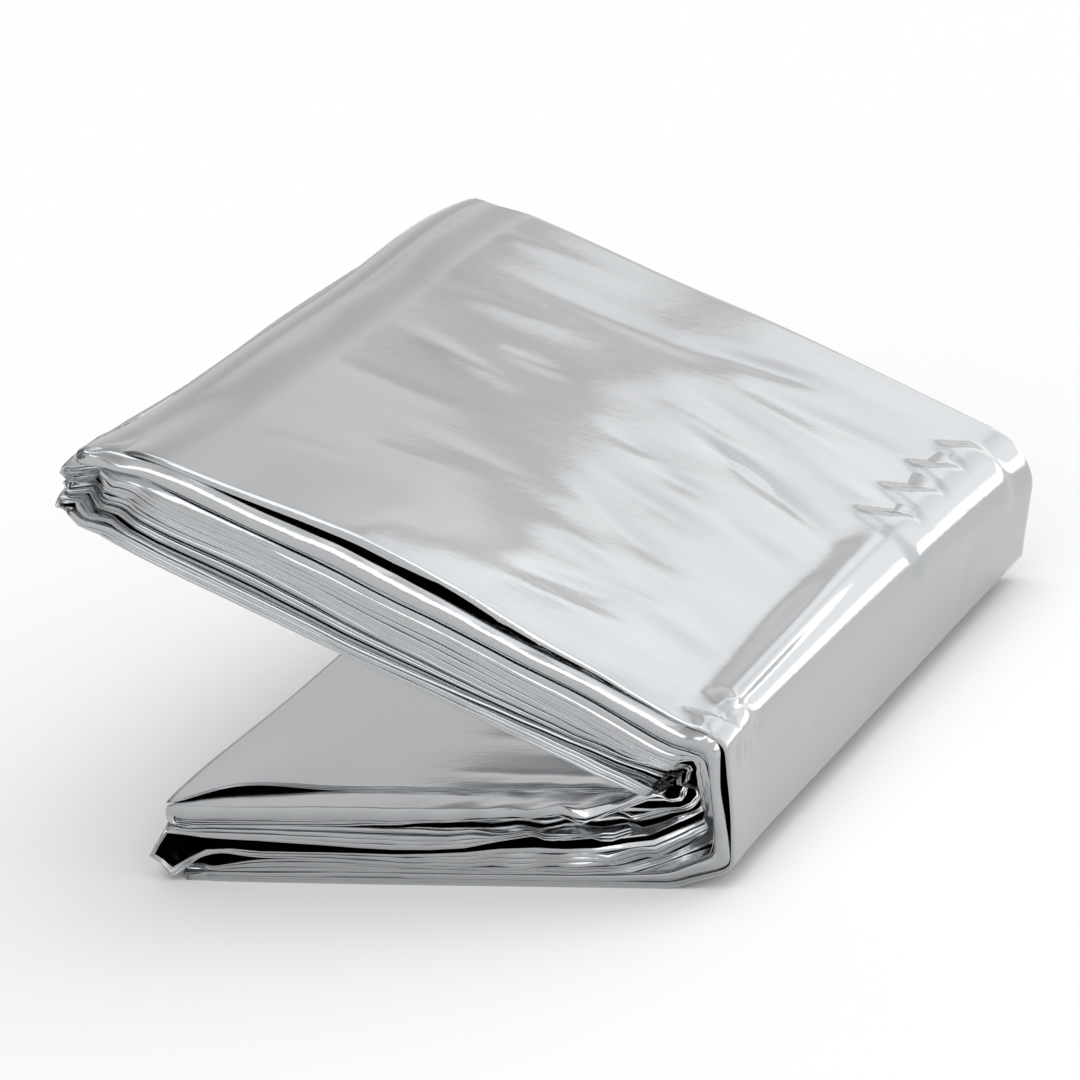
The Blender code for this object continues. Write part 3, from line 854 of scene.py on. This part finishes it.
def film_material(sizes):
    """Polyester film with a vacuum-deposited coat of aluminium: a soft mirror, cool and slightly dulled,
    with fine packing creases that blur what it reflects."""
    made = bpy.data.materials.new("metallised_polyester_film")
    made.use_nodes = True
    tree = made.node_tree
    shader = tree.nodes["Principled BSDF"]
    shader.inputs["Base Color"].default_value = hex_colour(sizes.film_colour)
    shader.inputs["Metallic"].default_value = 1.0
    place = add_node(tree, "ShaderNodeTexCoord")
    stretch = add_node(
        tree, "ShaderNodeMapping",
        values={"Scale": (1.0, 3.0, 3.0)}, links={"Vector": place.outputs["Object"]},
    )
    haze = add_node(
        tree, "ShaderNodeTexNoise",
        values={"Scale": 45.0, "Detail": 4.0, "Roughness": 0.6},
        links={"Vector": stretch.outputs["Vector"]},
    )
    rough = add_node(
        tree, "ShaderNodeMapRange",
        values={"From Min": 0.3, "From Max": 0.7, "To Min": 0.10, "To Max": 0.15},
        links={"Value": haze.outputs["Fac"]},
    )
    tree.links.new(rough.outputs["Result"], shader.inputs["Roughness"])
    fine = add_node(
        tree, "ShaderNodeTexNoise",
        values={"Scale": 260.0, "Detail": 3.0, "Roughness": 0.55},
        links={"Vector": stretch.outputs["Vector"]},
    )
    bump = add_node(
        tree, "ShaderNodeBump",
        values={"Strength": 1.0, "Distance": 0.00002}, links={"Height": fine.outputs["Fac"]},
    )
    tree.links.new(bump.outputs["Normal"], shader.inputs["Normal"])
    return made


def floor_material(sizes):
    """Matt white card: it gives the film a pale, even thing to mirror."""
    made = bpy.data.materials.new("matt_white_card")
    made.use_nodes = True
    tree = made.node_tree
    shader = tree.nodes["Principled BSDF"]
    shader.inputs["Roughness"].default_value = 0.9
    shader.inputs["Specular IOR Level"].default_value = 0.2
    shader.inputs["Base Color"].default_value = hex_colour(sizes.floor_colour)
    return made


# ---------------- settings, operators, panel

# The studio round the blanket: brightness by the height that a direction points to, from level to upright,
# and by how far it points to the left or right of the pad, 0.5 being straight on.
WORLD_BY_HEIGHT = ((0.0, 1.0), (0.30, 1.08), (0.45, 1.03), (0.55, 0.94), (0.70, 0.80), (0.95, 1.2))
WORLD_BY_SIDE = (
    (0.0, 0.10), (0.14, 0.20), (0.24, 0.73), (0.38, 0.69), (0.42, 0.86), (0.456, 1.04), (0.466, 0.84),
    (0.484, 0.79), (0.489, 0.98), (0.495, 1.26), (0.52, 1.44), (0.550, 1.46), (0.59, 1.20), (0.64, 1.25),
    (0.70, 1.40), (0.76, 1.40), (0.85, 1.1), (1.0, 1.1),
)
WORLD_STRENGTH = 1.1
FLOOR_RADIUS = 4.0
CAMERA_PLACE = Vector((0.3842, -0.8258, 0.3204))
AIM = Vector((0.0, 0.0, 0.03))  # what the softboxes face
# Softboxes: name, place, width and height in metres, and brightness.
SOFTBOXES = (
    ("front_strip", (0.05, -1.60, 0.38), (1.70, 0.40), 1.5),
    ("back_strip", (0.62, 1.25, 0.13), (0.60, 0.22), 1.0),
    ("top_panel", (-0.30, 0.40, 1.50), (0.70, 0.70), 1.2),
)


class BlanketSizes(PropertyGroup):
    film_colour: StringProperty(
        name="Film colour", description="Display colour of the aluminium coat", default="#B2B4B6"
    )
    floor_colour: StringProperty(
        name="Floor colour", description="Display colour of the floor", default="#F0F0F0"
    )
    fold_steps: IntProperty(
        name="Fold steps", description="Faces round a ply's folded edge", default=8, min=4
    )
    camera_azimuth: FloatProperty(
        name="Camera azimuth", description="Round from the near side", default=math.radians(25.26),
        subtype="ANGLE",
    )
    camera_elevation: FloatProperty(
        name="Camera elevation", description="Above the floor", default=math.radians(17.65), subtype="ANGLE"
    )
    camera_roll: FloatProperty(
        name="Camera roll", description="Turn about the line of sight", default=math.radians(-8.68),
        subtype="ANGLE",
    )
    camera_lens: FloatProperty(
        name="Lens", description="Focal length on a 36 mm sensor, in millimetres", default=209.0
    )


def own_object(name, mesh, material):
    """An object of its own for a mesh, in one material."""
    made = bpy.data.objects.new(name, mesh)
    bpy.context.scene.collection.objects.link(made)
    mesh.materials.clear()
    mesh.materials.append(material)
    return made


class FOIL_OT_film(Operator):
    """Builds the plies of the folded strip"""

    bl_idname = "foil.film"
    bl_label = "Folded film"

    def execute(self, context):
        sizes = context.scene.foil_blanket
        material = film_material(sizes)
        names = ("outer_ply", "second_ply", "third_ply", "inner_ply")
        for ply, name in enumerate(names):
            if ply == 0:
                columns = loop_columns(spaced(OUTER_SPACING), INNER_FLATS, sizes.fold_steps)
                mesh = film_mesh(name, ply, columns, OUTER_STEPS, OUTER_HIDDEN_STEPS, OUTER_TURN_STEPS)
            else:
                columns = loop_columns(INNER_FLATS, INNER_FLATS, sizes.fold_steps)
                mesh = film_mesh(name, ply, columns, {}, INNER_STEPS, INNER_TURN_STEPS)
            piece = own_object(name, mesh, material)
            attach(piece, BODY)
            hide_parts(NODE)
        return {"FINISHED"}


class FOIL_OT_stage(Operator):
    """Builds the floor, the lights and the camera"""

    bl_idname = "foil.stage"
    bl_label = "Stage"

    def execute(self, context):
        sizes = context.scene.foil_blanket
        scene = context.scene
        floor = bpy.data.meshes.new("floor")
        disc = bmesh.new()
        bmesh.ops.create_circle(disc, cap_ends=True, segments=64, radius=FLOOR_RADIUS)
        bmesh.ops.recalc_face_normals(disc, faces=disc.faces)
        disc.to_mesh(floor)
        disc.free()
        own_object("floor", floor, floor_material(sizes))
        scene.view_settings.view_transform = "Standard"
        world = bpy.data.worlds.new("studio")
        scene.world = world
        world.use_nodes = True
        tree = world.node_tree
        background = tree.nodes["Background"]
        place = add_node(tree, "ShaderNodeTexCoord")
        split = add_node(tree, "ShaderNodeSeparateXYZ", links={"Vector": place.outputs["Generated"]})
        height = self.ramp(tree, split.outputs["Z"], WORLD_BY_HEIGHT)
        side = add_node(
            tree, "ShaderNodeMapRange",
            values={"From Min": -1.0, "From Max": 1.0}, links={"Value": split.outputs["X"]},
        )
        across = self.ramp(tree, side.outputs["Result"], WORLD_BY_SIDE)
        both = add_node(
            tree, "ShaderNodeMixRGB", {"blend_type": "MULTIPLY"}, {"Fac": 1.0},
            {"Color1": height.outputs["Color"], "Color2": across.outputs["Color"]},
        )
        tree.links.new(both.outputs["Color"], background.inputs["Color"])
        background.inputs["Strength"].default_value = WORLD_STRENGTH
        for name, place, size, level in SOFTBOXES:
            self.softbox(name, place, size, level)
        self.camera(scene, sizes)
        return {"FINISHED"}

    def ramp(self, tree, value, stops):
        """Greys by a value from 0 to 1: (position, level) at each stop."""
        made = add_node(tree, "ShaderNodeValToRGB", links={"Fac": value})
        elements = made.color_ramp.elements
        while len(elements) < len(stops):
            elements.new(0.5)
        for element, (position, level) in zip(elements, stops):
            element.position = position
            element.color = (level, level, level, 1.0)
        return made

    def softbox(self, name, place, size, level):
        """A rectangular light that faces the blanket, of one brightness all over."""
        data = bpy.data.lights.new(name, "AREA")
        data.shape = "RECTANGLE"
        data.size, data.size_y = size
        data.energy = level * math.pi * size[0] * size[1]
        made = bpy.data.objects.new(name, data)
        bpy.context.scene.collection.objects.link(made)
        made.location = place
        made.rotation_euler = (AIM - Vector(place)).to_track_quat("-Z", "Y").to_euler()

    def camera(self, scene, sizes):
        """The camera, turned by its angles and not aimed at a point."""
        azimuth, elevation = sizes.camera_azimuth, sizes.camera_elevation
        back = Vector((
            math.sin(azimuth) * math.cos(elevation),
            -math.cos(azimuth) * math.cos(elevation),
            math.sin(elevation),
        ))
        right = Vector((0, 0, 1)).cross(back).normalized()
        up = back.cross(right)
        turn = sizes.camera_roll
        across = right * math.cos(turn) + up * math.sin(turn)
        top = -right * math.sin(turn) + up * math.cos(turn)
        data = bpy.data.cameras.new("camera")
        data.lens = sizes.camera_lens
        data.clip_start = 0.01
        made = bpy.data.objects.new("camera", data)
        scene.collection.objects.link(made)
        axes = Matrix((across, top, back)).transposed().to_4x4()
        made.matrix_world = Matrix.Translation(CAMERA_PLACE) @ axes
        scene.camera = made


class FOIL_PT_panel(Panel):
    """Lists the blanket's sizes and what builds it"""

    bl_label = "Foil Blanket"
    bl_idname = "FOIL_PT_panel"
    bl_space_type = "VIEW_3D"
    bl_region_type = "UI"
    bl_category = "Foil Blanket"

    def draw(self, context):
        layout = self.layout
        sizes = context.scene.foil_blanket
        for name in BlanketSizes.__annotations__:
            layout.prop(sizes, name)
        for operator in (FOIL_OT_film, FOIL_OT_stage):
            layout.operator(operator.bl_idname)


CLASSES = (BlanketSizes, FOIL_OT_film, FOIL_OT_stage, FOIL_PT_panel)


def register():
    for item in CLASSES:
        bpy.utils.register_class(item)
    bpy.types.Scene.foil_blanket = PointerProperty(type=BlanketSizes)


def unregister():
    del bpy.types.Scene.foil_blanket
    for item in reversed(CLASSES):
        bpy.utils.unregister_class(item)


def main():
    register()
    bpy.ops.foil.stage()
    bpy.ops.foil.film()


if __name__ == "__main__":
    main()
